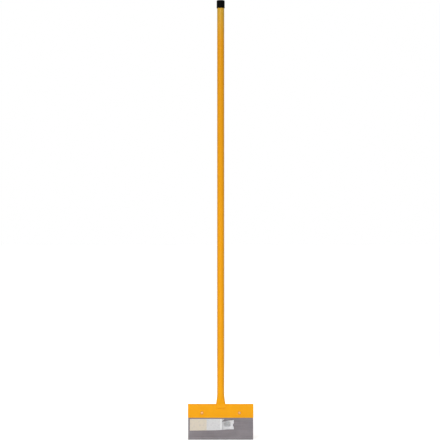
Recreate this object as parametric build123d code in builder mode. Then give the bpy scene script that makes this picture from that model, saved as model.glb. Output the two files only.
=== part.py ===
from build123d import *
import os
from math import cos, pi, radians, sin, sqrt

os.makedirs("parts", exist_ok=True)

# Long-handled concrete scraper, in millimetres.
# Z runs up the handle from the cutting edge, X along the blade, and the front faces -Y.

# Driving dimensions: whole tool and blade
overall_length = 1350.0  # cutting edge to the crown of the end cap
blade_width = 200.0
blade_thickness = 2.0
blade_reach = 67.5  # bare blade below the holder
blade_top_gap = 0.5  # blade's upper edge to the start of the fold
bevel_height = 8.0  # ground face on the front
edge_land = 0.5  # blunt edge left by the grinding

# Driving dimensions: folded sheet holder
holder_height = 43.0
holder_sheet = 2.0
holder_overhang = 0.75  # holder past each end of the blade
holder_corner = 1.5  # rounded lower corners of the flanges

# Driving dimensions: handle tube and its pressed end
tube_diameter = 22.0
tube_wall = 1.2
mouth_lap = 10.0  # pressed end that lies over the holder
mouth_room = 0.25  # inside of the pressed end to the holder
mouth_crown = 3.0  # degrees, half the sweep of each broad side
slot_gap = 0.1  # slot in the pressed end to the holder
flare_length = 39.0  # pressed oval back to the round tube
flare_steps = 6  # stations of the flare

# Driving dimensions: rivets
rivet_pitch = 115.0
rivet_rise = 15.0  # above the holder's lower edge
rivet_shank = 5.0
rivet_head = 9.5
rivet_head_height = 2.8
rivet_tail = 8.5
rivet_tail_height = 1.8
rivet_tail_rim = 0.5  # bevel of the flattened tail
rivet_gap = 0.05  # shank to hole, on the radius

# Driving dimensions: end cap
cap_height = 24.5
cap_wall = 1.4
cap_roof = 3.0
cap_shoulder = 2.5  # rounding of the top edge
cap_rim = 0.5  # bevel of the lower rim
cap_gap = 0.05  # cap to tube, on the radius

# Driving dimensions: weld beads around the pressed end
weld_width = 6.0
weld_height = 2.2  # above the holder
weld_toe = 2.0  # bead that laps onto the pressed end
weld_turn = 3.5  # bead cuts across each corner of the pressed end

# Sizes that follow from the driving dimensions
gap_half = blade_thickness / 2
holder_half = gap_half + holder_sheet
holder_top = blade_reach + holder_height
fold_z = holder_top - holder_half
holder_width = blade_width + 2 * holder_overhang
rivet_z = blade_reach + rivet_rise
rivet_hole = rivet_shank / 2 + rivet_gap
front_plane = Plane(origin=(0, -holder_half, rivet_z), x_dir=(1, 0, 0), z_dir=(0, -1, 0))

tube_radius = tube_diameter / 2
tube_top = overall_length - cap_roof
mouth_z = holder_top - mouth_lap
flare_top = fold_z + flare_length
cap_radius = tube_radius + cap_gap + cap_wall
cap_bottom = overall_length - cap_height


# Pressing a tube flat bends its wall but keeps the wall's length. Every section is an oval of
# four tangent arcs: two broad ones on the front and back, and two tight ones at the sides.
def oval_arcs(press):
    """Tight radius, broad radius and half sweep of the broad arcs: press 0 is round, 1 the mouth."""
    tight_mouth = holder_half + mouth_room + tube_wall
    tight = tube_radius + (tight_mouth - tube_radius) * press
    sweep = radians(45 + (mouth_crown - 45) * press)
    wall_middle = tube_wall / 2
    quarter_wall = (tube_radius - wall_middle) * pi / 2
    broad = (quarter_wall - (pi / 2 - sweep) * (tight - wall_middle)) / sweep + wall_middle
    return tight, broad, sweep


def oval_section(press, height, inset=0.0):
    """The tube's outline at a height, moved in by the inset."""
    tight, broad, sweep = oval_arcs(press)
    side_x = (broad - tight) * sin(sweep)
    broad_y = (broad - tight) * cos(sweep)
    broad_degrees = 2 * sweep * 180 / pi
    tight_degrees = 180 - broad_degrees
    with BuildSketch(Plane.XY.offset(height)) as section:
        with BuildLine():
            CenterArc((side_x, 0), tight - inset, -tight_degrees / 2, tight_degrees)
            CenterArc((0, -broad_y), broad - inset, 90 - broad_degrees / 2, broad_degrees)
            CenterArc((-side_x, 0), tight - inset, 180 - tight_degrees / 2, tight_degrees)
            CenterArc((0, broad_y), broad - inset, 270 - broad_degrees / 2, broad_degrees)
        make_face()
    return section.sketch


def flare_sections(inset):
    """Stations of the flare, from the pressed mouth up to the round tube."""
    sections = []
    for step in range(flare_steps + 1):
        rise = step / flare_steps
        press = (1 - rise) ** 2 * (1 + rise)
        sections.append(oval_section(press, fold_z + rise * flare_length, inset))
    return sections


# Handle tube: straight round tube, flare, and a pressed mouth slotted to straddle the fold
with BuildPart() as handle_tube:
    for inset, mode in ((0.0, Mode.ADD), (tube_wall, Mode.SUBTRACT)):
        stations = flare_sections(inset)
        loft(stations, mode=mode)
        extrude(stations[0], amount=mouth_z - fold_z, mode=mode)
        extrude(stations[-1], amount=tube_top - flare_top, mode=mode)
    slot_height = holder_top + slot_gap - mouth_z
    with BuildSketch(Plane.YZ):
        with Locations((0, mouth_z + slot_height / 2)):
            Rectangle(2 * (holder_half + slot_gap), slot_height)
    extrude(amount=tube_diameter, both=True, mode=Mode.SUBTRACT)
handle_tube.part.label = "handle_tube"
export_step(handle_tube.part, "parts/handle_tube.step")

# End cap: one moulded cup, pushed over the tube until its roof meets the tube's end
with BuildPart() as end_cap:
    with BuildSketch(Plane.XZ) as cap_profile:
        with BuildLine():
            Polyline(
                (0, overall_length),
                (cap_radius, overall_length),
                (cap_radius, cap_bottom),
                (tube_radius + cap_gap, cap_bottom),
                (tube_radius + cap_gap, tube_top),
                (0, tube_top),
                close=True,
            )
        make_face()
        top_corner = cap_profile.vertices().group_by(Axis.X)[-1].sort_by(Axis.Y)[-1]
        fillet(top_corner, cap_shoulder)
        rim_corner = cap_profile.vertices().group_by(Axis.X)[-1].sort_by(Axis.Y)[0]
        chamfer(rim_corner, cap_rim)
    revolve(axis=Axis.Z)
end_cap.part.label = "end_cap"
export_step(end_cap.part, "parts/end_cap.step")

# Blade holder: one strip of sheet folded over into a hairpin that grips the blade
with BuildPart() as blade_holder:
    with BuildSketch(Plane.YZ):
        with BuildLine():
            Line((-holder_half, blade_reach), (-holder_half, fold_z))
            CenterArc((0, fold_z), holder_half, 180, -180)
            Polyline(
                (holder_half, fold_z),
                (holder_half, blade_reach),
                (gap_half, blade_reach),
                (gap_half, fold_z),
            )
            CenterArc((0, fold_z), gap_half, 0, 180)
            Polyline(
                (-gap_half, fold_z),
                (-gap_half, blade_reach),
                (-holder_half, blade_reach),
            )
        make_face()
    extrude(amount=holder_width / 2, both=True)
    flange_corners = blade_holder.edges().filter_by(Axis.Y).group_by(Axis.Z)[0]
    fillet(flange_corners, holder_corner)
    with Locations(front_plane):
        with GridLocations(rivet_pitch, 0, 2, 1):
            Hole(rivet_hole)
blade_holder.part.label = "blade_holder"
export_step(blade_holder.part, "parts/blade_holder.step")

# Blade: flat plate ground on the front down to a blunt edge along its back face
with BuildPart() as blade:
    with BuildSketch(Plane.YZ):
        with BuildLine():
            Polyline(
                (gap_half, 0),
                (gap_half, fold_z - blade_top_gap),
                (-gap_half, fold_z - blade_top_gap),
                (-gap_half, bevel_height),
                (gap_half - edge_land, 0),
                close=True,
            )
        make_face()
    extrude(amount=blade_width / 2, both=True)
    with Locations(front_plane):
        with GridLocations(rivet_pitch, 0, 2, 1):
            Hole(rivet_hole)
blade.part.label = "blade"
export_step(blade.part, "parts/blade.step")

# Rivets: domed head in front, shank through holder and blade, tail hammered flat at the back
tail_face = holder_half + rivet_tail_height
for side, rivet_x in (("left", -rivet_pitch / 2), ("right", rivet_pitch / 2)):
    with BuildPart() as rivet:
        with BuildSketch(Plane(origin=(rivet_x, 0, rivet_z))):
            with BuildLine():
                TangentArc(
                    (0, -holder_half - rivet_head_height),
                    (rivet_head / 2, -holder_half),
                    tangent=(1, 0),
                )
                Polyline(
                    (rivet_head / 2, -holder_half),
                    (rivet_shank / 2, -holder_half),
                    (rivet_shank / 2, holder_half),
                    (rivet_tail / 2, holder_half),
                    (rivet_tail / 2, tail_face - rivet_tail_rim),
                    (rivet_tail / 2 - rivet_tail_rim, tail_face),
                    (0, tail_face),
                    (0, -holder_half - rivet_head_height),
                )
            make_face()
        revolve(axis=Axis((rivet_x, 0, rivet_z), (0, 1, 0)))
    rivet.part.label = f"rivet_{side}"
    export_step(rivet.part, f"parts/rivet_{side}.step")

# Weld beads: a U of weld metal on each face of the holder, round the lip of the pressed mouth
mouth = oval_section(1, mouth_z)
lip_tight, lip_broad, lip_sweep = oval_arcs(1)
lip_edge = (lip_broad - lip_tight) * sin(lip_sweep) + sqrt(lip_tight**2 - holder_half**2)
bead_half = weld_width / 2
bead_x = lip_edge + bead_half - weld_toe
bead_z = mouth_z - bead_half + weld_toe
for side, facing in (("front", -1), ("back", 1)):
    face_y = facing * holder_half
    with BuildPart() as weld:
        with BuildLine(Plane.XZ.offset(-face_y)):
            Polyline(
                (-bead_x, fold_z),
                (-bead_x, bead_z + weld_turn),
                (weld_turn - bead_x, bead_z),
                (bead_x - weld_turn, bead_z),
                (bead_x, bead_z + weld_turn),
                (bead_x, fold_z),
            )
        with BuildSketch(Plane(origin=(-bead_x, face_y, fold_z), x_dir=(1, 0, 0), z_dir=(0, 0, facing))):
            with BuildLine():
                ThreePointArc((-bead_half, 0), (0, weld_height), (bead_half, 0))
                Line((-bead_half, 0), (bead_half, 0))
            make_face()
        sweep(transition=Transition.RIGHT)
        run_out = Plane(origin=(0, face_y, fold_z), z_dir=(0, facing, 1))  # both ends slope to the sheet
        split(bisect_by=run_out, keep=Keep.BOTTOM)
        extrude(mouth, amount=fold_z - mouth_z, mode=Mode.SUBTRACT)
    weld.part.label = f"weld_{side}"
    export_step(weld.part, f"parts/weld_{side}.step")
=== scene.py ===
# %% [markdown]
# # Dressing a long-handled concrete scraper
# A scraper like this is pushed along a slab to lift off spilled concrete. It is a painted steel tube with
# a plastic cap on top, a folded sheet that grips a flat steel blade at the bottom, two rivets and some
# weld. It could be modelled by eye from pictures. Here a technical model of the tool is loaded first,
# because it gives the size and place of each piece. It stays as it is: every piece below is made in the
# same place, finer and with its real surface.

# %% Load the technical model
from math import asin, cos, exp, pi, radians, sin

import bpy
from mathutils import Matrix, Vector


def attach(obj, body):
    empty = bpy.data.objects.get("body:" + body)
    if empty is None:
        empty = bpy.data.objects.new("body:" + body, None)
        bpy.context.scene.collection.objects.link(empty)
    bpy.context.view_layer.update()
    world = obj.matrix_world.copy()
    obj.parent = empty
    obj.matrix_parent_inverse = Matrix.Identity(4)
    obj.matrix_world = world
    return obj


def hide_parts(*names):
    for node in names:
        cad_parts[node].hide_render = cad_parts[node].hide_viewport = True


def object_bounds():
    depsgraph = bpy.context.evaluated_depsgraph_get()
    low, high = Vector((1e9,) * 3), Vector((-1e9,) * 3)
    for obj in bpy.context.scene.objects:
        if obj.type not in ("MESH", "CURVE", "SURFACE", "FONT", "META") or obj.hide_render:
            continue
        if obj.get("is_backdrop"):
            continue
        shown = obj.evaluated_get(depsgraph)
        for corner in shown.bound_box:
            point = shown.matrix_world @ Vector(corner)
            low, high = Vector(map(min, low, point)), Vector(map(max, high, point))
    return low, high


MM = 0.001  # the model is in metres, sizes below are in millimetres

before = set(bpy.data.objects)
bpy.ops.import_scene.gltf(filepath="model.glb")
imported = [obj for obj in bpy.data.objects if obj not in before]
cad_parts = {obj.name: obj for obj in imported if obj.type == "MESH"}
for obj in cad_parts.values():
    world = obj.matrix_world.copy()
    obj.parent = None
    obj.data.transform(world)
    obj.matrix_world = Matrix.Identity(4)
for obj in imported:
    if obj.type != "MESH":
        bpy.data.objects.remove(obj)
cad_low, cad_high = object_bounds()
print("pieces in the model:", ", ".join(sorted(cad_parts)))
print("size in mm:", [round(side / MM, 1) for side in cad_high - cad_low])

# %% [markdown]
# ## The camera
# A tool 1350 mm tall that fills the picture from top to bottom, with no lean and no taper, was seen from
# far away at half its height. A camera without any perspective would show it the same way, but a long
# lens is what such a picture is taken with. The distance follows from the lens: it is the one at which
# the tool covers 439 of the picture's 440 rows.

# %% Place the camera
LENS, SENSOR = 135.0, 36.0  # mm
ROWS = 440  # height of the picture in pixels
TOOL_ROWS = 439.4  # rows that the tool covers
CAMERA_ASIDE = -2.1  # mm, the picture's middle beside the handle's axis

tool_height = cad_high.z - cad_low.z
camera_distance = tool_height / TOOL_ROWS * ROWS * LENS / SENSOR
camera_data = bpy.data.cameras.new("long_lens")
camera_data.lens = LENS
camera_data.sensor_width = SENSOR
camera = bpy.data.objects.new("long_lens", camera_data)
camera.location = (CAMERA_ASIDE * MM, -camera_distance, tool_height / 2)
camera.rotation_euler = (radians(90), 0, 0)
bpy.context.collection.objects.link(camera)
bpy.context.scene.camera = camera
bpy.context.scene.view_settings.view_transform = "Standard"
print("camera stands", round(camera_distance, 2), "m away")

# %% [markdown]
# ## Colours and nodes
# Paint charts and pictures give colours as sRGB hex values, but a shader counts light in linear steps.
# One function turns the first into the second. Shader nodes can be placed by hand in Blender's editor.
# Written down they are easier to repeat and to compare, so another function adds a node, fills in its
# settings and joins it to the nodes before it, and each finish below reads like a recipe.

# %% Helpers for every finish
def linear(hex_code):
    """An sRGB hex colour as the linear colour that a shader takes."""
    colour = []
    for start in (1, 3, 5):
        level = int(hex_code[start:start + 2], 16) / 255
        colour.append(level / 12.92 if level <= 0.04045 else ((level + 0.055) / 1.055) ** 2.4)
    return (*colour, 1.0)


def fill_in(tree, node, settings=None, links=None):
    """Sets a node's sockets and properties, and joins its sockets to the outputs of other nodes."""
    for name, value in (settings or {}).items():
        if isinstance(name, int) or name in node.inputs:
            node.inputs[name].default_value = value
        else:
            setattr(node, name, value)
    for name, output in (links or {}).items():
        tree.links.new(output, node.inputs[name])
    return node


# Sockets with the same name go by number. A Mix node takes its factor at 0, two numbers at 2 and 3, or two
# colours at 6 and 7, and gives a number at output 0 and a colour at output 2.
def add_node(tree, kind, settings=None, links=None):
    """A new shader node, filled in and joined to the nodes before it."""
    return fill_in(tree, tree.nodes.new(kind), settings, links)


print("half grey #808080 is", round(linear("#808080")[0], 3), "in linear light")

# %% [markdown]
# ## A pale studio
# The tool stands on a white floor in a white room. Strong lamps could make both of them white, but they
# would bleach the paint as well. So what the camera sees of the room and the floor, straight or mirrored
# in metal, is set to white, and the light that falls on the tool stays at a plain level. The room lights
# it softly from all round. A broad lamp stands in front and low, so that the handle gets a little darker
# towards its top, and a smaller one hangs high up for the highlights. Both have a twin behind the tool
# for the views from the back.

# %% The white room
ROOM_LIGHT = 0.3  # light on the tool; what the camera sees of the room is 1, white


def seen_by_camera(tree):
    """1 for rays that come from the camera, straight, through glass or off a mirror, and 0 for others."""
    rays = add_node(tree, "ShaderNodeLightPath")
    straight = add_node(tree, "ShaderNodeMath", {"operation": "MAXIMUM"},
                        {0: rays.outputs["Is Camera Ray"], 1: rays.outputs["Is Transmission Ray"]})
    mirrored = add_node(tree, "ShaderNodeMath", {"operation": "MAXIMUM"},
                        {0: straight.outputs["Value"], 1: rays.outputs["Is Glossy Ray"]})
    return mirrored.outputs["Value"]


room = bpy.data.worlds.new("white_room")
bpy.context.scene.world = room
room.use_nodes = True
tree = room.node_tree
level = add_node(tree, "ShaderNodeMapRange", {"To Min": ROOM_LIGHT, "To Max": 1.0},
                 {"Value": seen_by_camera(tree)})
fill_in(tree, tree.nodes["Background"], {"Color": linear("#FFFFFF")}, {"Strength": level.outputs["Result"]})
print("room light", ROOM_LIGHT)

# %% The floor's mesh
FLOOR_REACH = 40.0  # m, to the horizon
FLOOR_DROP = 0.2  # mm below the cutting edge

floor_z = cad_low.z - FLOOR_DROP * MM
corners = [(x * FLOOR_REACH, y * FLOOR_REACH, floor_z) for x, y in ((-1, -1), (1, -1), (1, 1), (-1, 1))]
floor_mesh = bpy.data.meshes.new("studio_floor")
floor_mesh.from_pydata(corners, [], [(0, 1, 2, 3)])
floor = bpy.data.objects.new("studio_floor", floor_mesh)
bpy.context.collection.objects.link(floor)
floor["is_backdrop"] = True
print("floor lies", FLOOR_DROP, "mm below the edge")


# %% The floor's paint
def start_finish(name):
    """A new material with its node tree, its shader and the place of each point, in metres."""
    finish = bpy.data.materials.new(name)
    finish.use_nodes = True
    tree = finish.node_tree
    place = add_node(tree, "ShaderNodeTexCoord").outputs["Object"]
    return finish, tree, tree.nodes["Principled BSDF"], place


floor_paint, tree, shader, place = start_finish("matt_white_floor_paint")

# Far off only the room lights the floor, so what is seen of it glows up to white. Close to the tool the
# lamps do most of that, and the tool's soft shadow shows.
from_tool = add_node(tree, "ShaderNodeVectorMath", {"operation": "LENGTH"}, {0: place})
missing = add_node(tree, "ShaderNodeMapRange",
                   {"From Min": 0.3, "From Max": 2.3, "To Min": 0.43, "To Max": 0.72},
                   {"Value": from_tool.outputs["Value"]})
glow = add_node(tree, "ShaderNodeMath", {"operation": "MULTIPLY"},
                {0: seen_by_camera(tree), 1: missing.outputs["Result"]})
fill_in(tree, shader, {"Base Color": linear("#EFEFEF"), "Roughness": 0.9, "Specular IOR Level": 0.1,
                       "Emission Color": linear("#FFFFFF")}, {"Emission Strength": glow.outputs["Value"]})
floor_mesh.materials.append(floor_paint)
print("finish:", floor_paint.name)


# %% The lamps
def hang_lamp(name, place, aim, width, height, watts):
    """A rectangular soft lamp at a place, turned to the point that it lights."""
    lamp_data = bpy.data.lights.new(name, "AREA")
    lamp_data.shape = "RECTANGLE"
    lamp_data.size, lamp_data.size_y = width, height
    lamp_data.energy = watts
    lamp = bpy.data.objects.new(name, lamp_data)
    lamp.location = place
    lamp.rotation_euler = (Vector(aim) - Vector(place)).to_track_quat("-Z", "Y").to_euler()
    lamp.visible_camera = False
    bpy.context.collection.objects.link(lamp)
    return lamp


for side, way in (("front", -1), ("back", 1)):
    low_box = hang_lamp(f"{side}_low_box", place=(way * 0.2, way * 1.4, 0.33), aim=(0, 0, 0.33),
                        width=1.2, height=0.6, watts=3.2)
    low_box.data.spread = radians(105)  # a grid keeps its light off the floor in front of it
    low_box.visible_glossy = False  # steel mirrors the white room instead
    hang_lamp(f"{side}_key", place=(way * 0.5, way * 1.9, 1.9), aim=(0, 0, 0.5),
              width=0.5, height=0.5, watts=17.5)

# %% [markdown]
# ## Powder-coated steel
# Tube, holder and weld are sprayed with dry paint powder and baked. The melted powder flows out to a skin
# about 0.1 mm thick with a soft shine and a faint orange peel, waves a few millimetres long. A few dull
# rubs come from handling. One flat yellow would look like plastic, and a painted picture would have to be
# fitted to each piece. Noise in real millimetres fits them all: it drives the peel's bump and lets colour
# and shine drift a little.


# %% Powder coat: colour, rubs, painted shade on the tube and a greyer top
def cells(size_mm):
    """Texture scale at which one cell of the pattern is this many millimetres."""
    return 1 / (size_mm * MM)


powder_coat, tree, shader, place = start_finish("baked_yellow_powder_coat")
spot = add_node(tree, "ShaderNodeSeparateXYZ", links={"Vector": place})

# The coat's thickness drifts over some centimetres: the thin places are a shade deeper
drift = add_node(tree, "ShaderNodeTexNoise", {"Scale": cells(45), "Detail": 3.0}, {"Vector": place})
paint = add_node(tree, "ShaderNodeMix",
                 {"data_type": "RGBA", 6: linear("#F3A100"), 7: linear("#FEB108")},
                 {0: drift.outputs["Fac"]})

# Rubs from handling: patches some centimetres long
along = add_node(tree, "ShaderNodeMapping", {"Scale": (1.0, 1.0, 0.25)}, {"Vector": place})
rubs = add_node(tree, "ShaderNodeTexNoise", {"Scale": cells(22), "Detail": 5.0, "Roughness": 0.6},
                {"Vector": along.outputs["Vector"]})
rubbed = add_node(tree, "ShaderNodeMapRange", {"From Min": 0.55, "From Max": 0.75, "To Max": 0.3},
                  {"Value": rubs.outputs["Fac"]})

# Painted shade: from a little above the head the tube is a shade deeper, for the light that the round
# tube loses beside the flat head. Near the top the coat turns greyer
painted_tube_shade = add_node(tree, "ShaderNodeMapRange", {"From Min": 115 * MM, "From Max": 250 * MM, "To Max": 0.9},
                {"Value": spot.outputs["Z"]})
greyer_top = add_node(tree, "ShaderNodeMapRange",
                    {"From Min": 1220 * MM, "From Max": 1325 * MM, "To Max": 0.85},
                    {"Value": spot.outputs["Z"]})
print("paint: colour, rubs and grip take", len(tree.nodes), "nodes")

# %% Powder coat: thin edges
# Molten powder draws back from the sheet's sheared edges, below and at both ends, and is thin there
low_edge = add_node(tree, "ShaderNodeMapRange", {"From Min": 68.2 * MM, "From Max": 67.5 * MM},
                    {"Value": spot.outputs["Z"]})
sideways = add_node(tree, "ShaderNodeMath", {"operation": "ABSOLUTE"}, {0: spot.outputs["X"]})
end_edge = add_node(tree, "ShaderNodeMapRange", {"From Min": 100 * MM, "From Max": 100.7 * MM},
                    {"Value": sideways.outputs["Value"]})
edge = add_node(tree, "ShaderNodeMath", {"operation": "MAXIMUM"},
                {0: low_edge.outputs["Result"], 1: end_edge.outputs["Result"]})
patchy = add_node(tree, "ShaderNodeTexNoise", {"Scale": cells(3), "Detail": 3.0}, {"Vector": place})
thin = add_node(tree, "ShaderNodeMath", {"operation": "MULTIPLY"},
                {0: edge.outputs["Value"], 1: patchy.outputs["Fac"]})
print("paint: with thin edges", len(tree.nodes), "nodes")

# %% Powder coat: layers, shine and peel
# Each layer lies over the one before: brown rubs, the tube's painted shade, a grey top and dark edges
for wear, hex_code in ((rubbed, "#DD9420"), (painted_tube_shade, "#EEA108"), (greyer_top, "#DCB03A"), (thin, "#B27412")):
    paint = add_node(tree, "ShaderNodeMix", {"data_type": "RGBA", 7: linear(hex_code)},
                     {0: wear.outputs[0], 6: paint.outputs[2]})
shine = add_node(tree, "ShaderNodeMapRange", {"From Max": 0.3, "To Min": 0.3, "To Max": 0.5},
                 {"Value": rubbed.outputs["Result"]})

# Orange peel: waves of about 2.5 mm and 0.04 mm high, drawn 0.2 mm high so that they show
peel = add_node(tree, "ShaderNodeTexNoise", {"Scale": cells(2.5), "Detail": 2.0}, {"Vector": place})
waves = add_node(tree, "ShaderNodeBump", {"Distance": 0.2 * MM}, {"Height": peel.outputs["Fac"]})

# A dry, satin coat has less sheen than a gloss enamel, so its specular level is low
fill_in(tree, shader, {"IOR": 1.5, "Specular IOR Level": 0.2},
        {"Base Color": paint.outputs[2], "Roughness": shine.outputs["Result"],
         "Normal": waves.outputs["Normal"]})
print("finish:", powder_coat.name)

# %% [markdown]
# ## Moulded polyethylene
# The cap is soft black plastic from a spark-eroded mould, which leaves a fine dull grain: nearly no
# reflection, and a slightly grey edge where the light grazes it. Plain black would be right from afar,
# but then the cap looks like a hole in the picture. So grain and dust are drawn as well, and give the
# light something to catch.

# %% Black plastic
moulded_plastic, tree, shader, place = start_finish("moulded_black_polyethylene")

# The mould's grain is about 0.1 mm: drawn at 0.7 mm so that it shows
grain = add_node(tree, "ShaderNodeTexNoise", {"Scale": cells(0.7), "Detail": 2.0}, {"Vector": place})
pits = add_node(tree, "ShaderNodeBump", {"Distance": 0.08 * MM}, {"Height": grain.outputs["Fac"]})

# Hands and dust leave paler smears of a centimetre or so
smears = add_node(tree, "ShaderNodeTexNoise", {"Scale": cells(9), "Detail": 4.0}, {"Vector": place})
dusty = add_node(tree, "ShaderNodeMapRange", {"From Min": 0.45, "From Max": 0.8},
                 {"Value": smears.outputs["Fac"]})
colour = add_node(tree, "ShaderNodeMix",
                  {"data_type": "RGBA", 6: linear("#030304"), 7: linear("#0A0A09")},
                  {0: dusty.outputs["Result"]})
dull = add_node(tree, "ShaderNodeMapRange", {"To Min": 0.5, "To Max": 0.68},
                {"Value": dusty.outputs["Result"]})

# A dull grain scatters nearly all of the reflection
fill_in(tree, shader, {"IOR": 1.51, "Specular IOR Level": 0.035},
        {"Base Color": colour.outputs[2], "Roughness": dull.outputs["Result"],
         "Normal": pits.outputs["Normal"]})
print("finish:", moulded_plastic.name)

# %% [markdown]
# ## Cold-rolled spring steel
# The blade is cut from hardened strip. The rolls leave fine lines along the strip, which runs across the
# tool, and oil and hardening leave a mid grey, a touch warm, not a mirror. The lowest 8 mm of the front
# are ground, with scratches that run up from the edge. A shader can stretch its highlights along such
# lines by itself, but the lines then have no shape. Noise that is stretched one way draws them, in
# colour, shine and relief at once.

# %% Blade steel: lines and scratches
BEVEL = 8.0  # mm, height of the ground face
rolled_steel, tree, shader, place = start_finish("cold_rolled_spring_steel")

# Roll lines: 0.1 mm apart and as long as the strip, drawn 0.8 mm apart and 100 mm long so that they show
across = add_node(tree, "ShaderNodeMapping", {"Scale": (0.008, 1.0, 1.0)}, {"Vector": place})
lines = add_node(tree, "ShaderNodeTexNoise", {"Scale": cells(0.8), "Detail": 3.0},
                 {"Vector": across.outputs["Vector"]})

# Grinding scratches: the same the other way, on the ground face only
upward = add_node(tree, "ShaderNodeMapping", {"Scale": (1.0, 1.0, 0.04)}, {"Vector": place})
scratches = add_node(tree, "ShaderNodeTexNoise", {"Scale": cells(0.7), "Detail": 3.0},
                     {"Vector": upward.outputs["Vector"]})
spot = add_node(tree, "ShaderNodeSeparateXYZ", links={"Vector": place})
low = add_node(tree, "ShaderNodeMapRange", {"From Min": (BEVEL + 0.2) * MM, "From Max": (BEVEL - 0.2) * MM},
               {"Value": spot.outputs["Z"]})
front = add_node(tree, "ShaderNodeMapRange", {"From Min": 0.95 * MM, "From Max": 0.9 * MM},
                 {"Value": spot.outputs["Y"]})
ground = add_node(tree, "ShaderNodeMath", {"operation": "MULTIPLY"},
                  {0: low.outputs["Result"], 1: front.outputs["Result"]})
marks = add_node(tree, "ShaderNodeMix", links={0: ground.outputs["Value"], 2: lines.outputs["Fac"],
                                               3: scratches.outputs["Fac"]})
print("steel: lines and scratches take", len(tree.nodes), "nodes")

# %% Blade steel: colour, shine and relief
# Oil stains of a few centimetres on the rolled faces
stains = add_node(tree, "ShaderNodeTexNoise", {"Scale": cells(35), "Detail": 4.0}, {"Vector": place})
tone = add_node(tree, "ShaderNodeMix", {0: 0.4}, {2: marks.outputs[0], 3: stains.outputs["Fac"]})
strong = add_node(tree, "ShaderNodeMapRange", {"From Min": 0.28, "From Max": 0.72},
                  {"Value": tone.outputs[0]})
rolled = add_node(tree, "ShaderNodeMix",
                  {"data_type": "RGBA", 6: linear("#746F73"), 7: linear("#989397")},
                  {0: strong.outputs["Result"]})

# Grinding takes the grey skin off, and part of the gain is a painted reflection of the light that this
# tilted face catches: the ground face is a little brighter
bare_and_lit = add_node(tree, "ShaderNodeMath", {"operation": "MULTIPLY", 1: 0.2}, {0: ground.outputs["Value"]})
colour = add_node(tree, "ShaderNodeMix", {"data_type": "RGBA", 7: linear("#AEAAAD")},
                  {0: bare_and_lit.outputs["Value"], 6: rolled.outputs[2]})
shine = add_node(tree, "ShaderNodeMapRange", {"To Min": 0.34, "To Max": 0.5},
                 {"Value": strong.outputs["Result"]})
relief = add_node(tree, "ShaderNodeBump", {"Strength": 0.8, "Distance": 0.03 * MM},
                  {"Height": marks.outputs[0]})
fill_in(tree, shader, {"Metallic": 1.0},
        {"Base Color": colour.outputs[2], "Roughness": shine.outputs["Result"],
         "Normal": relief.outputs["Normal"]})
print("finish:", rolled_steel.name)

# %% [markdown]
# ## Copper-plated steel
# The rivets are steel wire with a thin copper plating, upset cold in a die. The plating is a dulled pink,
# and the hammer has rubbed it pale in places, so the two heads read as small light spots on the yellow. A
# clean copper would do for a new rivet in a box. Here the rim of each head gets a painted shade, where the
# dome curves down to the sheet, and that ring is what sets the head off from the sheet, so it is drawn by
# its distance from the rivet's axis.

# %% Rivet metal
RIVET_X, RIVET_Z = 57.5, 82.5  # mm, each rivet's axis
rivet_metal, tree, shader, place = start_finish("copper_plated_steel")

# Marks of the die, about 1.5 mm across
blows = add_node(tree, "ShaderNodeTexNoise", {"Scale": cells(1.5), "Detail": 3.0}, {"Vector": place})
colour = add_node(tree, "ShaderNodeMix",
                  {"data_type": "RGBA", 6: linear("#E49C58"), 7: linear("#FBC688")},
                  {0: blows.outputs["Fac"]})

# Painted shade darkens the rim of the head, from 3.6 mm off the rivet's axis
spot = add_node(tree, "ShaderNodeSeparateXYZ", links={"Vector": place})
sideways = add_node(tree, "ShaderNodeMath", {"operation": "ABSOLUTE"}, {0: spot.outputs["X"]})
in_face = add_node(tree, "ShaderNodeCombineXYZ",
                   links={"X": sideways.outputs["Value"], "Z": spot.outputs["Z"]})
from_axis = add_node(tree, "ShaderNodeVectorMath",
                     {"operation": "DISTANCE", 1: (RIVET_X * MM, 0.0, RIVET_Z * MM)},
                     {0: in_face.outputs["Vector"]})
rim = add_node(tree, "ShaderNodeMapRange", {"From Min": 3.6 * MM, "From Max": 4.5 * MM, "To Max": 0.85},
               {"Value": from_axis.outputs["Value"]})
shaded_rim = add_node(tree, "ShaderNodeMix", {"data_type": "RGBA", 7: linear("#7A5236")},
                 {0: rim.outputs["Result"], 6: colour.outputs[2]})
shine = add_node(tree, "ShaderNodeMapRange", {"To Min": 0.42, "To Max": 0.28},
                 {"Value": blows.outputs["Fac"]})
dents = add_node(tree, "ShaderNodeBump", {"Strength": 0.5, "Distance": 0.08 * MM},
                 {"Height": blows.outputs["Fac"]})
fill_in(tree, shader, {"Metallic": 1.0},
        {"Base Color": shaded_rim.outputs[2], "Roughness": shine.outputs["Result"],
         "Normal": dents.outputs["Normal"]})
print("finish:", rivet_metal.name)

# %% [markdown]
# ## Coated paper
# A blank label is stuck to the blade. Its paper is coated on the front: a dull white with a soft sheen,
# and cream on its left panel. Behind a fold its right end has come loose and has been crushed. Creases
# could be left to a noise pattern, but noise has no straight lines, and crushed paper is full of them. So
# the folds are written down once, as straight lines in three directions: the coating is rubbed pale along
# them here, which also paints in the light that their ridges catch, and the mesh is bent along the same
# lines further down, so colour and shape agree. The tone along the label also carries a painted highlight
# on the fold's crest, painted shade behind it, and painted shade in the middle of the loose end.

# %% Label paper: tone along its length
PAPER_TONES = (  # mm along the blade
    (-94.8, "#DDD3C2"), (-43.7, "#DDD3C2"),  # cream panel
    (-42.7, "#DBDBDC"), (-2.5, "#DBDBDC"),  # white panel
    # Painted highlight on the crest of the fold, and painted shade behind it
    (1.0, "#F1F1F3"), (3.0, "#E6E6E8"), (5.5, "#BEBEC1"),  # crest of the fold and the shade behind it
    (9.0, "#D6D6D8"), (30.0, "#E4E4E7"), (40.5, "#E4E4E7"),  # loose end
)
tones_from, tones_to = PAPER_TONES[0][0], PAPER_TONES[-1][0]

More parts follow.
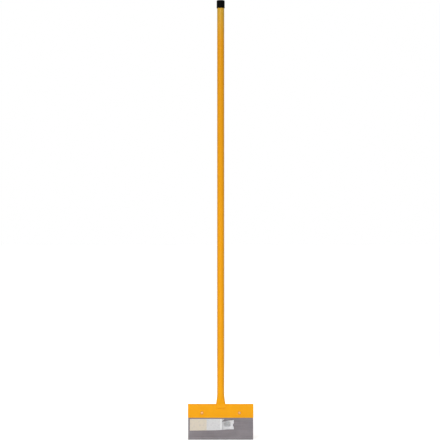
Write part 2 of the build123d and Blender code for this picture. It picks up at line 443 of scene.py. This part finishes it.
label_paper, tree, shader, place = start_finish("coated_label_paper")
spot = add_node(tree, "ShaderNodeSeparateXYZ", links={"Vector": place})
along = add_node(tree, "ShaderNodeMapRange", {"From Min": tones_from * MM, "From Max": tones_to * MM},
                 {"Value": spot.outputs["X"]})
tone = add_node(tree, "ShaderNodeValToRGB", links={"Fac": along.outputs["Result"]})
stops = tone.color_ramp.elements
while len(stops) < len(PAPER_TONES):
    stops.new(0.5)
for stop, (x, hex_code) in zip(stops, PAPER_TONES):
    stop.position = (x - tones_from) / (tones_to - tones_from)
    stop.color = linear(hex_code)
print("paper: tone has", len(stops), "stops")

# %% Label paper: painted shade in the middle of the loose end
# A painted shade greys it where the crushed end is dished away from the light, and leaves the border
# bright. Squared lengths make the patch nearly square, with round corners and a soft rim.
SHADE_X, SHADE_Z = 19.5, 49.0  # mm, its middle
SHADE_WIDE, SHADE_TALL = 11.0, 8.5  # mm, half its size

centred = add_node(tree, "ShaderNodeMapping",
                   {"vector_type": "TEXTURE", "Location": (SHADE_X * MM, 0.0, SHADE_Z * MM),
                    "Scale": (SHADE_WIDE * MM, 1.0, SHADE_TALL * MM)}, {"Vector": place})
squared = add_node(tree, "ShaderNodeVectorMath", {"operation": "MULTIPLY"},
                   {0: centred.outputs["Vector"], 1: centred.outputs["Vector"]})
from_middle = add_node(tree, "ShaderNodeVectorMath", {"operation": "LENGTH"},
                       {0: squared.outputs["Vector"]})
shaded = add_node(tree, "ShaderNodeMapRange", {"From Min": 1.4, "From Max": 0.6, "To Max": 0.85},
                  {"Value": from_middle.outputs["Value"]})
lined = add_node(tree, "ShaderNodeMix", {"data_type": "RGBA", 7: linear("#A1A2A4")},
                 {0: shaded.outputs["Result"], 6: tone.outputs["Color"]})
print("paper: soiled patch about", 2 * SHADE_WIDE, "by", 2 * SHADE_TALL, "mm")

# %% Label paper: worn creases with painted highlights
# Degrees, spacing, height, start of each set of creases
CREASES = ((70, 14.0, 2.0, 0.1), (12, 12.0, 1.1, 0.35), (-38, 16.0, 1.5, 0.6))
# The pale crease lines are partly rubbed coating and partly painted highlight on the ridges
CREASE_WEAR_AND_LIGHT = 0.7  # mm of coating rubbed off on each side of a crease, drawn wide so that it shows

loose = add_node(tree, "ShaderNodeMapRange", {"From Min": 4 * MM, "From Max": 10 * MM, "To Max": 0.25},
                 {"Value": spot.outputs["X"]})
for angle, spacing, tall, start in CREASES:
    across = (cos(radians(angle)) / (spacing * MM), 0.0, sin(radians(angle)) / (spacing * MM))
    run = add_node(tree, "ShaderNodeVectorMath", {"operation": "DOT_PRODUCT", 1: across}, {0: place})
    beat = add_node(tree, "ShaderNodeMath", {"operation": "ADD", 1: start}, {0: run.outputs["Value"]})
    beside = add_node(tree, "ShaderNodeMath", {"operation": "PINGPONG", 1: 0.5},
                      {0: beat.outputs["Value"]})
    crease = add_node(tree, "ShaderNodeMapRange",
                      {"From Max": CREASE_WEAR_AND_LIGHT / spacing, "To Min": 1.0, "To Max": 0.0},
                      {"Value": beside.outputs["Value"]})
    # Pale on the ridges: partly rubbed coating, partly painted highlight
    worn_and_lit = add_node(tree, "ShaderNodeMath", {"operation": "MULTIPLY"},
                    {0: crease.outputs["Result"], 1: loose.outputs["Result"]})
    lined = add_node(tree, "ShaderNodeMix", {"data_type": "RGBA", 7: linear("#F4F4F6")},
                     {0: worn_and_lit.outputs["Value"], 6: lined.outputs[2]})
print("paper:", len(CREASES), "sets of creases")

# %% Label paper: handling marks, sheen and relief
# Marks of some millimetres, a shade greyer
marks = add_node(tree, "ShaderNodeTexNoise", {"Scale": cells(6), "Detail": 5.0}, {"Vector": place})
marked = add_node(tree, "ShaderNodeMapRange", {"From Min": 0.5, "From Max": 0.8, "To Max": 0.45},
                  {"Value": marks.outputs["Fac"]})
colour = add_node(tree, "ShaderNodeMix", {"data_type": "RGBA", 7: linear("#B4B4B7")},
                  {0: marked.outputs["Result"], 6: lined.outputs[2]})
sheen = add_node(tree, "ShaderNodeMapRange", {"To Min": 0.45, "To Max": 0.65},
                 {"Value": marks.outputs["Fac"]})

# Paper fibres swell into a grain of about 0.3 mm: drawn at 1 mm so that it shows
fibres = add_node(tree, "ShaderNodeTexNoise", {"Scale": cells(1), "Detail": 3.0}, {"Vector": place})
grain = add_node(tree, "ShaderNodeBump", {"Strength": 0.6, "Distance": 0.05 * MM},
                 {"Height": fibres.outputs["Fac"]})
fill_in(tree, shader, {"IOR": 1.5, "Specular IOR Level": 0.25},
        {"Base Color": colour.outputs[2], "Roughness": sheen.outputs["Result"],
         "Normal": grain.outputs["Normal"]})
print("finish:", label_paper.name)

# %% [markdown]
# ## From numbers to a piece
# Blender can shape a mesh with its modelling tools, or take it as plain lists of points and faces. Lists
# are used here: they follow the workshop's sizes to the tenth of a millimetre and come out the same on
# each run. Tube, holder and label are all sheet: a front, a back a little behind it, and a rim where the
# sheet ends. If front and back have the same faces, the rim is every edge that has a face on one side
# only. Real edges are never knife-sharp, so a narrow bevel softens them and gives each its thin line of
# light.


# %% Helpers that make the meshes
def make_piece(name, points, faces, finish, node=None):
    """A smooth mesh from points in millimetres, in its finish, that stands for a node of the model."""
    mesh = bpy.data.meshes.new(name)
    mesh.from_pydata([(x * MM, y * MM, z * MM) for x, y, z in points], [], faces)
    mesh.shade_smooth()
    mesh.materials.append(finish)
    piece = bpy.data.objects.new(name, mesh)
    bpy.context.collection.objects.link(piece)
    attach(piece, "root")
    if node:
        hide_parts(node)
    print(name, "has", len(mesh.polygons), "faces")
    return piece


def close_sheet(front, back, faces):
    """Points and faces of a sheet with two skins, closed along every rim."""
    count = len(front)
    edges = {(a, b) for face in faces for a, b in zip(face, face[1:] + face[:1])}
    rims = [(b, a, a + count, b + count) for a, b in sorted(edges) if (b, a) not in edges]
    lining = [tuple(i + count for i in reversed(face)) for face in faces]
    return front + back, list(faces) + lining + rims


def soften(piece, width_mm):
    """Rounds the hard edges a little, as shears, paint or wear leave them."""
    rounding = piece.modifiers.new("softened_edges", "BEVEL")
    rounding.width = width_mm * MM
    rounding.segments = 2
    rounding.limit_method = "ANGLE"
    rounding.angle_limit = radians(38)
    even = piece.modifiers.new("even_shading", "WEIGHTED_NORMAL")
    even.keep_sharp = True


square = [(0, 0), (1, 0), (1, 1), (0, 1)]
print("a closed square has", len(close_sheet(square, square, [(0, 1, 2, 3)])[1]), "faces")

# %% [markdown]
# ## The handle tube
# The tube's lower end is squeezed flat in a press, so it widens to the sides, and a slot across it lets
# it straddle the folded sheet. A cylinder could be scaled flat at one end, but that would shorten its
# wall. Pressing bends the wall and keeps its length: each section is an oval of four arcs, two broad and
# two tight, whose wall is as long as that of the round tube. Points are spread along that length, and one
# of them in each quarter stays on the slot's edge, so that the slot is a clean gap in the mesh.

# %% Sections of the pressed end
TUBE_RADIUS, TUBE_WALL = 11.0, 1.2
MOUTH_Z, FOLD_Z, FLARE_LENGTH, TUBE_TOP = 100.5, 107.5, 39.0, 1347.0
SLOT_HALF, SLOT_TOP = 3.1, 110.6
MOUTH_TIGHT = 4.45  # outer radius of the tight arcs at the mouth
ROUND_SWEEP, MOUTH_SWEEP = 45.0, 3.0  # degrees, half the broad arcs of the round tube and of the mouth
HALF_WALL = TUBE_WALL / 2
QUARTER_WALL = (TUBE_RADIUS - HALF_WALL) * pi / 2


def pressed_at(z):
    """How far the press has closed the tube at a height: 1 at the mouth, 0 where it is round."""
    rise = min(max((z - FOLD_Z) / FLARE_LENGTH, 0.0), 1.0)
    return (1 - rise) ** 2 * (1 + rise)


def oval_arcs(press):
    """Tight radius, broad radius and half sweep of the broad arcs."""
    tight = TUBE_RADIUS + (MOUTH_TIGHT - TUBE_RADIUS) * press
    sweep = radians(ROUND_SWEEP + (MOUTH_SWEEP - ROUND_SWEEP) * press)
    broad = (QUARTER_WALL - (pi / 2 - sweep) * (tight - HALF_WALL)) / sweep + HALF_WALL
    return tight, broad, sweep


def wall_point(press, share, inset):
    """A point of the wall: share 0 is the side of the tube, 1 the middle of its back."""
    tight, broad, sweep = oval_arcs(press)
    run = share * QUARTER_WALL
    tight_run = (tight - HALF_WALL) * (pi / 2 - sweep)
    if run <= tight_run:
        angle = run / (tight - HALF_WALL)
        return (broad - tight) * sin(sweep) + (tight - inset) * cos(angle), (tight - inset) * sin(angle)
    angle = pi / 2 - sweep + (run - tight_run) / (broad - HALF_WALL)
    return (broad - inset) * cos(angle), (broad - inset) * sin(angle) - (broad - tight) * cos(sweep)


print("mouth is", round(2 * wall_point(1, 0, 0)[0], 1), "mm wide")

# %% Rings of the tube
SLOT_STEPS, QUARTER_STEPS = 5, 20  # steps of a quarter that the slot takes, and all of them
FLARE_ROWS, TUBE_ROWS = 24, 20
STRAIGHT_FROM = 160.0  # mm, first ring of the straight tube
ring_size = 4 * QUARTER_STEPS

heights = [MOUTH_Z, 103.0, 105.5, FOLD_Z, 109.0, SLOT_TOP]
heights += [FOLD_Z + FLARE_LENGTH * row / FLARE_ROWS for row in range(3, FLARE_ROWS + 1)]
heights += [STRAIGHT_FROM + (TUBE_TOP - STRAIGHT_FROM) * row / TUBE_ROWS for row in range(TUBE_ROWS + 1)]


def slot_share(z, inset):
    """Share of the quarter at which the slot's edge runs, or would run further up."""
    tight = oval_arcs(pressed_at(min(z, SLOT_TOP)))[0]
    return asin(SLOT_HALF / (tight - inset)) * (tight - HALF_WALL) / QUARTER_WALL


def tube_ring(z, inset):
    """One ring of points at a height, in four mirrored quarters."""
    edge = slot_share(z, inset)
    shares = [edge * step / SLOT_STEPS for step in range(SLOT_STEPS)]
    plain = QUARTER_STEPS - SLOT_STEPS
    shares += [edge + (1 - edge) * step / plain for step in range(plain + 1)]
    quarter = [wall_point(pressed_at(z), share, inset) for share in shares]
    half = quarter + [(-x, y) for x, y in reversed(quarter[:-1])]
    ring = half + [(x, -y) for x, y in reversed(half[1:-1])]
    return [(x, y, z) for x, y in ring]


print("tube has", len(heights), "rings of", ring_size, "points")

# %% Tube mesh
tube_faces = []
for row in range(len(heights) - 1):
    for column in range(ring_size):
        from_side = min(abs((column + 0.5) - side) for side in (0, ring_size / 2, ring_size))
        if heights[row + 1] <= SLOT_TOP and from_side < SLOT_STEPS:
            continue  # the slot stays open
        beside = (column + 1) % ring_size
        a, b = row * ring_size, (row + 1) * ring_size
        tube_faces.append((a + column, a + beside, b + beside, b + column))
outer = [point for z in heights for point in tube_ring(z, 0.0)]
inner = [point for z in heights for point in tube_ring(z, TUBE_WALL)]
points, faces = close_sheet(outer, inner, tube_faces)
tube = make_piece("painted_tube", points, faces, powder_coat, "handle_tube")
soften(tube, 0.25)

# %% [markdown]
# ## The end cap
# A moulded cup, pushed over the tube until its roof meets the tube's end. Its top edge is well rounded,
# and its roof is a little crowned and carries the small sunken spot where the plastic was let into the
# mould. A bevelled cylinder would give the outside only. One profile, turned once round the tube's axis,
# gives the spot, the rounding, the rim and the hollow.


# %% A helper for turned pieces
def turn(profile, steps):
    """Points (radius, angle, height) and faces of a profile that runs from the axis back to the axis."""
    points = [(0.0, 0.0, profile[0][1])]
    for radius, height in profile[1:-1]:
        points += [(radius, 2 * pi * step / steps, height) for step in range(steps)]
    points.append((0.0, 0.0, profile[-1][1]))
    faces = []
    last = len(points) - 1
    for step in range(steps):
        beside = (step + 1) % steps
        faces.append((0, 1 + step, 1 + beside))
        for ring in range(len(profile) - 3):
            a = 1 + ring * steps
            faces.append((a + step, a + steps + step, a + steps + beside, a + beside))
        a = 1 + (len(profile) - 3) * steps
        faces.append((a + step, last, a + beside))
    return points, faces


print("a double cone in 8 steps has", len(turn([(0, 0), (1, 1), (0, 2)], 8)[1]), "faces")

# %% Cap
CAP_RADIUS, CAP_INSIDE = 12.45, 11.05
CAP_TOP, CAP_BOTTOM, CAP_ROOF = 1350.0, 1325.5, 1347.0
CAP_SHOULDER = 2.5
CROWN = 0.12  # drop of the roof from its middle to the shoulder
SPOT_DEPTH = 0.35
SHOULDER_STEPS, CAP_STEPS = 8, 72

profile = [(0.0, CAP_TOP - SPOT_DEPTH), (0.9, CAP_TOP - SPOT_DEPTH), (1.3, CAP_TOP - 0.1)]  # sunken spot
profile += [(1.7, CAP_TOP), (5.5, CAP_TOP - CROWN / 4)]  # crowned roof
shoulder_x, shoulder_z = CAP_RADIUS - CAP_SHOULDER, CAP_TOP - CAP_SHOULDER - CROWN
for step in range(SHOULDER_STEPS + 1):
    angle = radians(90 * step / SHOULDER_STEPS)
    profile.append((shoulder_x + CAP_SHOULDER * sin(angle), shoulder_z + CAP_SHOULDER * cos(angle)))
profile += [(CAP_RADIUS, CAP_BOTTOM + 8.0), (CAP_RADIUS, CAP_BOTTOM + 0.6)]  # straight side
profile += [(CAP_RADIUS - 0.15, CAP_BOTTOM + 0.2), (CAP_RADIUS - 0.5, CAP_BOTTOM)]  # rounded rim
profile += [(CAP_INSIDE + 0.3, CAP_BOTTOM), (CAP_INSIDE, CAP_BOTTOM + 0.3)]  # lead-in for the tube
profile += [(CAP_INSIDE, CAP_ROOF - 0.6), (CAP_INSIDE - 0.6, CAP_ROOF), (0.0, CAP_ROOF)]  # hollow
turned, faces = turn(profile, CAP_STEPS)
points = [(radius * cos(angle), radius * sin(angle), height) for radius, angle, height in turned]
cap = make_piece("moulded_cap", points, faces, moulded_plastic, "end_cap")
cap.modifiers.new("even_shading", "WEIGHTED_NORMAL")

# %% [markdown]
# ## The blade holder
# In the workshop this is a flat blank with four holes, folded over a bar into a hairpin. It could be put
# together from two plates and half a tube, but then three pieces have to meet without a seam. So it is
# made in the workshop's order: the blank is laid out flat as a net of points, each hole takes the place
# of four by four cells, and then one function bends every point of both skins round the fold.

# %% Flat blank of the holder
HOLDER_HALF_WIDTH = 100.75
FLANGE_LOW, SHEET = 67.5, 2.0
FOLD_RADIUS = 2.0  # middle of the sheet
FOLD_STEPS = 16
CORNER = 1.5
RIVET_HOLE = 2.55
HOLE_ROOM = 7.0  # half the square that a hole takes in the net

flange = FOLD_Z - FLANGE_LOW
fold_run = pi * FOLD_RADIUS
blank_length = 2 * flange + fold_run
around_hole = [HOLE_ROOM * step / 2 for step in (-2, -1, 0, 1, 2)]

# The first row above the edge is further up than the bevel is wide, or the bevel would run into it
flange_rows = [CORNER * (1 - cos(radians(angle))) for angle in (0, 40, 65, 90)]
flange_rows += [RIVET_Z - FLANGE_LOW + step for step in around_hole] + [28.0, 34.0]
runs = flange_rows + [flange + fold_run * step / FOLD_STEPS for step in range(FOLD_STEPS + 1)]
runs += [blank_length - run for run in reversed(flange_rows)]
columns = [-HOLDER_HALF_WIDTH, -96.0, -86.0, -75.0] + [step - RIVET_X for step in around_hole]
columns += [-40.0, -28.0, -14.0]
columns = columns + [0.0] + [-x for x in reversed(columns)]


def half_width_at(run):
    """Half the blank's width, less where the corners are rounded."""
    from_end = min(run, blank_length - run)
    if from_end >= CORNER:
        return HOLDER_HALF_WIDTH
    return HOLDER_HALF_WIDTH - CORNER + (CORNER**2 - (CORNER - from_end) ** 2) ** 0.5


blank = []
for run in runs:
    blank += [(max(-half_width_at(run), min(half_width_at(run), x)), run) for x in columns]
print("blank is", round(blank_length, 1), "mm long before it is folded")

# %% Punch the holes
wide = len(columns)
holder_faces = []
for row in range(len(runs) - 1):
    for column in range(wide - 1):
        middle_x = (columns[column] + columns[column + 1]) / 2
        middle_run = (runs[row] + runs[row + 1]) / 2
        in_x = abs(abs(middle_x) - RIVET_X) < HOLE_ROOM
        in_run = abs(min(middle_run, blank_length - middle_run) - (RIVET_Z - FLANGE_LOW)) < HOLE_ROOM
        if not (in_x and in_run):
            a, b = row * wide + column, (row + 1) * wide + column
            holder_faces.append((a, a + 1, b + 1, b))

# Each square gap gets a ring of 16 faces from its border to a round hole
for hole_x in (-RIVET_X, RIVET_X):
    for hole_run in (RIVET_Z - FLANGE_LOW, blank_length - RIVET_Z + FLANGE_LOW):
        left = min(range(wide), key=lambda i: abs(columns[i] - hole_x + HOLE_ROOM))
        low = min(range(len(runs)), key=lambda i: abs(runs[i] - hole_run + HOLE_ROOM))
        border = [(low, left + i) for i in range(4)] + [(low + i, left + 4) for i in range(4)]
        border += [(low + 4, left + 4 - i) for i in range(4)] + [(low + 4 - i, left) for i in range(4)]
        first = len(blank)
        for row, column in border:
            aside, up = columns[column] - hole_x, runs[row] - hole_run
            reach = RIVET_HOLE / (aside**2 + up**2) ** 0.5
            blank.append((hole_x + aside * reach, hole_run + up * reach))
        for i in range(16):
            (row, column), (next_row, next_column) = border[i], border[(i + 1) % 16]
            holder_faces.append((row * wide + column, next_row * wide + next_column,
                                 first + (i + 1) % 16, first + i))
print("blank has", len(holder_faces), "faces and four holes")


# %% Fold the blank
def drop_unused(points, faces):
    """The points that some face uses, and the faces with their new numbers."""
    used = sorted({i for face in faces for i in face})
    renumber = {old: new for new, old in enumerate(used)}
    return [points[i] for i in used], [tuple(renumber[i] for i in face) for face in faces]


def fold(x, run, offset):
    """A point of the blank after folding; offset is the way out from the middle of the sheet."""
    if run < flange:
        return x, -FOLD_RADIUS - offset, FLANGE_LOW + run
    if run > flange + fold_run:
        return x, FOLD_RADIUS + offset, FLANGE_LOW + blank_length - run
    angle = (run - flange) / FOLD_RADIUS
    return x, -(FOLD_RADIUS + offset) * cos(angle), FOLD_Z + (FOLD_RADIUS + offset) * sin(angle)


blank, holder_faces = drop_unused(blank, holder_faces)
outside = [fold(x, run, SHEET / 2) for x, run in blank]
inside = [fold(x, run, -SHEET / 2) for x, run in blank]
points, faces = close_sheet(outside, inside, holder_faces)
holder = make_piece("folded_holder", points, faces, powder_coat, "blade_holder")
soften(holder, 0.3)

# %% [markdown]
# ## The blade
# The blade is a flat plate with a ground edge. It could be made anew, but the model's own solid already
# has that shape, so it stays. It gets the steel, and a trace of rounding on its edges: they are dressed
# after cutting so that they don't cut the hand. The solid's faces are loaded as separate patches, so they
# are joined first.

# %% Blade
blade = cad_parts["blade"]
blade.data.materials.clear()
blade.data.materials.append(rolled_steel)
joined = blade.modifiers.new("joined_faces", "WELD")
joined.merge_threshold = 0.001 * MM
soften(blade, 0.15)
print("blade keeps its solid,", len(blade.data.polygons), "faces")

# %% [markdown]
# ## The rivets
# Each rivet goes through holder, blade and holder. Its domed head is in front, and its tail is hammered
# flat at the back. A flattened ball on each side would look right from the front only. The rivet is
# turned like the cap, from one profile with head, shank and tail, round an axis that runs from front to
# back.

# %% Rivets
HEAD_RADIUS, HEAD_HEIGHT = 4.75, 2.8
SHANK_RADIUS, TAIL_RADIUS, TAIL_HEIGHT = 2.5, 4.25, 1.8
FACE_Y = FOLD_RADIUS + SHEET / 2  # the holder's two faces
DOME_STEPS, RIVET_STEPS = 12, 48

dome = (HEAD_RADIUS**2 + HEAD_HEIGHT**2) / (2 * HEAD_HEIGHT)
dome_step = asin(HEAD_RADIUS / dome) / DOME_STEPS
profile = [(dome * sin(dome_step * step), -FACE_Y - HEAD_HEIGHT + dome * (1 - cos(dome_step * step)))
           for step in range(DOME_STEPS)]
profile += [(HEAD_RADIUS - 0.1, -FACE_Y - 0.25), (HEAD_RADIUS - 0.05, -FACE_Y)]  # rim of the head
profile += [(SHANK_RADIUS, -FACE_Y), (SHANK_RADIUS, FACE_Y)]
profile += [(TAIL_RADIUS - 0.2, FACE_Y), (TAIL_RADIUS, FACE_Y + 0.4)]  # bulging side of the tail
profile += [(TAIL_RADIUS - 0.1, FACE_Y + 1.1), (TAIL_RADIUS - 0.45, FACE_Y + 1.55)]
profile += [(TAIL_RADIUS - 1.1, FACE_Y + TAIL_HEIGHT - 0.04), (TAIL_RADIUS - 2.2, FACE_Y + TAIL_HEIGHT)]
profile += [(0.0, FACE_Y + TAIL_HEIGHT - 0.1)]  # the hammer leaves a shallow dish
turned, faces = turn(profile, RIVET_STEPS)
for side, rivet_x in (("left", -RIVET_X), ("right", RIVET_X)):
    points = [(rivet_x + r * cos(angle), y, RIVET_Z + r * sin(angle)) for r, angle, y in turned]
    rivet = make_piece(f"domed_rivet_{side}", points, faces, rivet_metal, f"rivet_{side}")
    soften(rivet, 0.05)

# %% [markdown]
# ## The weld
# The pressed mouth is welded to the sheet with one bead on each face, a U that goes round the mouth's
# lip. A bead is a row of overlapping drops, each one a shallow crescent 1.6 mm behind the last. A plain
# rod along the lip would look like bent wire, and a bump in the paint would leave its outline smooth. So
# a rounded section runs along the U, and its height dips between the drops. Both ends run out flat.

# %% The line of the weld
BEAD_X, BEAD_Z, BEAD_TURN = 14.7, 99.5, 4.5
upright = FOLD_Z - BEAD_Z - BEAD_TURN
level_run = 2 * (BEAD_X - BEAD_TURN)
corner_run = BEAD_TURN * pi / 2
bead_run = 2 * upright + 2 * corner_run + level_run


def bead_place(run):
    """Place on the U and the direction to its outer side."""
    if run > bead_run / 2:
        x, z, out_x, out_z = bead_place(bead_run - run)
        return -x, z, -out_x, out_z
    if run < upright:
        return -BEAD_X, FOLD_Z - run, -1.0, 0.0
    if run < upright + corner_run:
        angle = (run - upright) / BEAD_TURN
        return (-BEAD_X + BEAD_TURN - BEAD_TURN * cos(angle), BEAD_Z + BEAD_TURN - BEAD_TURN * sin(angle),
                -cos(angle), -sin(angle))
    return -BEAD_X + BEAD_TURN + run - upright - corner_run, BEAD_Z, 0.0, -1.0


print("each bead is", round(bead_run, 1), "mm long")

# %% The drops of the weld
BEAD_HALF, BEAD_HEIGHT = 3.0, 2.2
DROP_PITCH, DROP_DIP, DROP_BOW = 1.6, 0.16, 0.9  # spacing, depth between drops, bow of the crescents
RUN_OUT = 4.0  # length over which each end gets flat
END_HALF, END_HEIGHT = 0.62, 0.06  # share of the half width and the height left at the very end
SECTION_STEPS = 14


def ramp(value, low, high):
    """Rises smoothly from 0 at low to 1 at high."""
    part = min(max((value - low) / (high - low), 0.0), 1.0)
    return part * part * (3 - 2 * part)


def bead_section(run, facing):
    """One ring of the bead, flat on the sheet and rounded outwards."""
    x, z, out_x, out_z = bead_place(run)
    full = ramp(min(run, bead_run - run), 0.0, RUN_OUT)
    wander = 0.12 * sin(run * 0.9 + facing) + 0.08 * sin(run * 2.3)  # no hand is quite steady
    half = BEAD_HALF * (END_HALF + (1 - END_HALF) * full) * (0.96 + 0.03 * sin(run * 1.7 + 2 * facing))
    ring = []
    for step in range(SECTION_STEPS + 1):
        angle = pi * step / SECTION_STEPS
        aside = half * cos(angle)
        drop = 0.5 - 0.5 * cos(2 * pi * (run + DROP_BOW * (aside / half) ** 2) / DROP_PITCH)
        tall = (BEAD_HEIGHT - DROP_DIP * drop) * (END_HEIGHT + (1 - END_HEIGHT) * full) * sin(angle)
        ring.append((x + out_x * (aside + wander), facing * (FACE_Y + tall), z + out_z * (aside + wander)))
    return ring


print("each bead has about", round(bead_run / DROP_PITCH), "drops")

# %% Weld beads
STATIONS = 170  # sections along the U
size = SECTION_STEPS + 1
bead_faces = [tuple(range(size))]
for station in range(STATIONS):
    a, b = station * size, (station + 1) * size
    for step in range(size):
        beside = (step + 1) % size
        bead_faces.append((a + step, b + step, b + beside, a + beside))
bead_faces.append(tuple(STATIONS * size + step for step in reversed(range(size))))
for side, facing in (("front", -1), ("back", 1)):
    points = []
    for station in range(STATIONS + 1):
        points += bead_section(bead_run * station / STATIONS, facing)
    faces = bead_faces if facing < 0 else [tuple(reversed(face)) for face in bead_faces]
    make_piece(f"weld_bead_{side}", points, faces, powder_coat, f"weld_{side}")

# %% [markdown]
# ## The label
# A blank paper label lies on the blade under the holder. Most of it is stuck down flat. Its right end is
# torn off along the top, has come loose and is crumpled, and a bite is missing from it. A cloth
# simulation could crush it, but cloth makes soft round wrinkles, and paper keeps straight folds. So it
# starts as a flat net, with more rows on the stuck part than on the loose one, so that the tear is a clean
# step. Then small waves, a fold and the creases lift it off the steel, as a sheet with two skins 0.12 mm
# apart.

# %% Label: outline
LABEL_LEFT, LOOSE_FROM, LABEL_RIGHT = -94.8, 3.5, 40.5
LABEL_LOW, TEAR_Z, LABEL_TOP = 28.0, 55.3, 64.0
LOW_SLOPE, LOOSE_RISE = 0.013, 2.8  # the lower edge climbs a little, and more towards the loose end
TEAR_RISE, CORNER_LEAN = 6.0, 8.0  # the tear runs uphill, and the torn corner leans over it
BITE_DEPTH, BITE_AT, BITE_SPREAD = 3.2, 0.45, 0.13  # mm, and shares of the loose end's height
RISE_FROM, RISE_TO, LEAN_FROM, BITE_FROM = -20.0, 34.5, -26.5, 31.5  # mm along the blade
STUCK_COLUMNS, LOOSE_COLUMNS = 40, 48
ROWS_TO_TEAR, ROWS_ABOVE = 34, 10


def flat_label(x, row):
    """Place of a point of the net: rows run from the lower edge to the tear and on to the top."""
    if row > ROWS_TO_TEAR:
        above = (row - ROWS_TO_TEAR) / ROWS_ABOVE
        lean = CORNER_LEAN * above * ramp(x, LEAN_FROM, LOOSE_FROM)
        return x + lean, TEAR_Z + (LABEL_TOP - TEAR_Z) * above
    low = LABEL_LOW + LOW_SLOPE * (x - LABEL_LEFT) + LOOSE_RISE * ramp(x, RISE_FROM, RISE_TO)
    high = TEAR_Z + TEAR_RISE * max(0.0, x - LOOSE_FROM) / (LABEL_RIGHT - LOOSE_FROM)
    up = row / ROWS_TO_TEAR
    bite = BITE_DEPTH * exp(-((up - BITE_AT) / BITE_SPREAD) ** 2) * ramp(x, BITE_FROM, LABEL_RIGHT)
    return x - bite, low + (high - low) * up


across = [LABEL_LEFT + (LOOSE_FROM - LABEL_LEFT) * i / STUCK_COLUMNS for i in range(STUCK_COLUMNS)]
across += [LOOSE_FROM + (LABEL_RIGHT - LOOSE_FROM) * i / LOOSE_COLUMNS for i in range(LOOSE_COLUMNS + 1)]
wide = len(across)
net = [flat_label(x, row) for row in range(ROWS_TO_TEAR + ROWS_ABOVE + 1) for x in across]
label_faces = []
for row in range(ROWS_TO_TEAR + ROWS_ABOVE):
    for column in range(wide - 1 if row < ROWS_TO_TEAR else STUCK_COLUMNS):
        a, b = row * wide + column, (row + 1) * wide + column
        label_faces.append((a, a + 1, b + 1, b))
net, label_faces = drop_unused(net, label_faces)
print("label is", round(LABEL_RIGHT - LABEL_LEFT, 1), "by", LABEL_TOP - LABEL_LOW, "mm")

# %% Label: lift it off the steel
BLADE_FRONT = -1.0
PAPER, GLUE = 0.12, 0.02
CREST_HEIGHT, CREST_SPREAD, CREST_LEAN = 1.5, 2.4, 0.08  # the fold where the loose end starts
CREST_MIDDLE = 45.0  # height at which its crest stands on LOOSE_FROM
LIFT_OVER = 8.0  # length over which the creases rise to their full height


def crumple(x, z):
    """Height of crushed paper: straight folds in three directions, like a roof each."""
    height = 0.0
    for angle, spacing, tall, start in CREASES:
        beat = (x * cos(radians(angle)) + z * sin(radians(angle))) / spacing + start
        height += tall * abs(2 * (beat % 1.0) - 1)
    return height


def lifted(x, z, behind):
    """A point of the label on the blade, behind is the way to the back skin."""
    waves = 0.06 + 0.03 * sin(x * 0.31 + z * 0.17) + 0.02 * sin(x * 0.83 - z * 0.41)  # uneven glue
    aside = x - LOOSE_FROM + CREST_LEAN * (z - CREST_MIDDLE)
    crest = CREST_HEIGHT * exp(-(aside / CREST_SPREAD) ** 2)
    lift = waves + crest + crumple(x, z) * ramp(x, LOOSE_FROM, LOOSE_FROM + LIFT_OVER)
    return x, BLADE_FRONT - GLUE - lift - PAPER + behind, z


front = [lifted(x, z, 0.0) for x, z in net]
back = [lifted(x, z, PAPER) for x, z in net]
points, faces = close_sheet(front, back, label_faces)
make_piece("blank_label", points, faces, label_paper)

# %% [markdown]
# ## The dressed size
# The dressed tool may not outgrow the technical model. That could be seen by eye in a drawing, but a
# number is surer: the dressed box is printed here, to be read against the model's size printed at the
# start.

# %% Measure the dressed tool
bpy.context.view_layer.update()
low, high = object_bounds()
print("dressed size in mm:", [round(side / MM, 1) for side in high - low])
